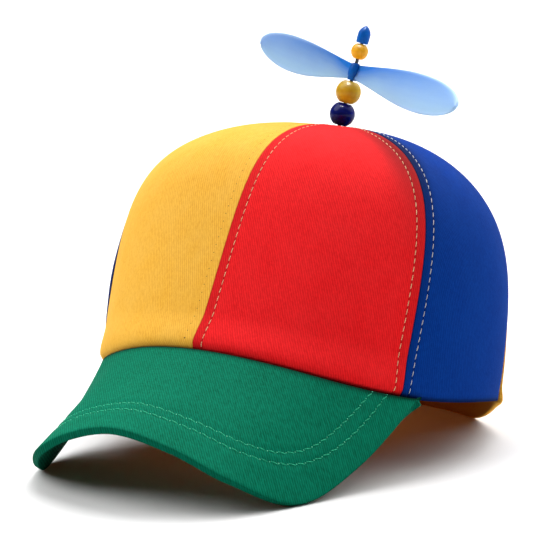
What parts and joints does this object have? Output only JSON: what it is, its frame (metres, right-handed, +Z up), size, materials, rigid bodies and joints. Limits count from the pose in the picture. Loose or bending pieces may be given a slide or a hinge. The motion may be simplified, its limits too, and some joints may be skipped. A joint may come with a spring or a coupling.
{
  "type": "propeller cap",
  "caption": "Cloth cap with panels in several colours, an arched peak and a twisted propeller that spins on a beaded spindle at the top of its crown.",
  "frame": {"origin": "bottom centre of the cap's box, on the surface that it stands on", "axes": "+Z up; -Y is where the peak points; +X is the wearer's left"},
  "size_m": [0.18, 0.2522, 0.182],
  "materials": {
    "yellow_cloth": "fine cotton twill",
    "red_cloth": "fine cotton twill",
    "blue_cloth": "fine cotton twill",
    "green_cloth": "fine cotton twill over a stiff peak",
    "dark_wire": "dark wire",
    "navy_plastic": "glossy",
    "gold_plastic": "pearly gloss",
    "yellow_plastic": "soft gloss",
    "blue_plastic": "glossy",
    "blade_plastic": "clear tinted, soft gloss"
  },
  "bodies": {
    "cap": {"panel_front_right": "yellow_cloth", "panel_front_left": "red_cloth", "panel_left": "blue_cloth", "panel_back_left": "yellow_cloth", "panel_back_right": "red_cloth", "panel_right": "blue_cloth", "peak": "green_cloth", "spindle": "dark_wire", "bead_navy": "navy_plastic", "bead_gold": "gold_plastic", "bead_yellow": "yellow_plastic", "tip": "blue_plastic"},
    "propeller": {"propeller": "blade_plastic"}
  },
  "joints": [
    {"name": "propeller_spin", "type": "hinge", "parent": "cap", "child": "propeller", "pos_m": [0.00551, 0.06482, 0.16122], "axis": [0.2079, 0.1698, 0.9633], "continuous": true}
  ]
}
